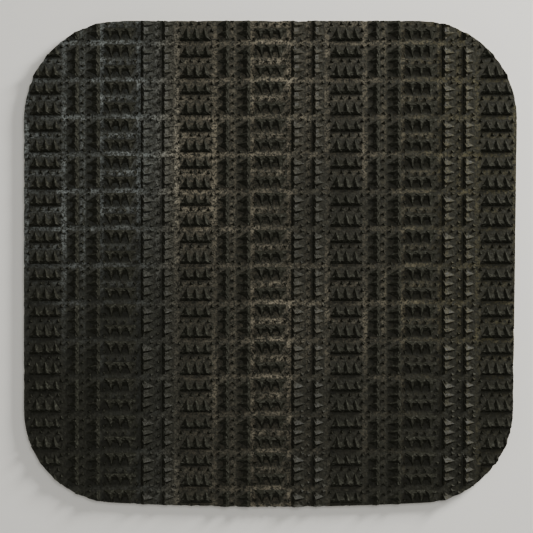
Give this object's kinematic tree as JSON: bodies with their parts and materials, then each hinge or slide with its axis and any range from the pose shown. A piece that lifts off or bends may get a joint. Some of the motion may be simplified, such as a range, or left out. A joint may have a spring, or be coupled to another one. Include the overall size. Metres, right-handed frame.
{
  "type": "snowboard stomp pad",
  "caption": "Rounded-square rubber traction pad with rows of claws, on double-coated tape with a split release liner.",
  "frame": {"origin": "centre of the underside of the release liner, on the surface that the pad lies on", "axes": "+Z out of the claw side, +X along the longer side, +Y away from the bowed front edge"},
  "size_m": [0.14, 0.138, 0.0033],
  "materials": {
    "moulded_rubber": "matt, fine moulded grain",
    "adhesive": "clear, tacky, slightly yellow",
    "carrier_film": "smooth film",
    "release_liner": "silicone-coated kraft paper, satin"
  },
  "bodies": {
    "pad": {"traction_sheet": "moulded_rubber", "adhesive_coat_upper": "adhesive", "carrier_film": "carrier_film", "adhesive_coat_lower": "adhesive"},
    "liner_left": {"release_liner_left": "release_liner"},
    "liner_right": {"release_liner_right": "release_liner"}
  },
  "joints": [
    {"name": "peel_left_liner", "type": "slide", "parent": "pad", "child": "liner_left", "axis": [-1, 0, 0], "range_m": [0, 0.085]},
    {"name": "peel_right_liner", "type": "slide", "parent": "pad", "child": "liner_right", "axis": [1, 0, 0], "range_m": [0, 0.073]}
  ]
}
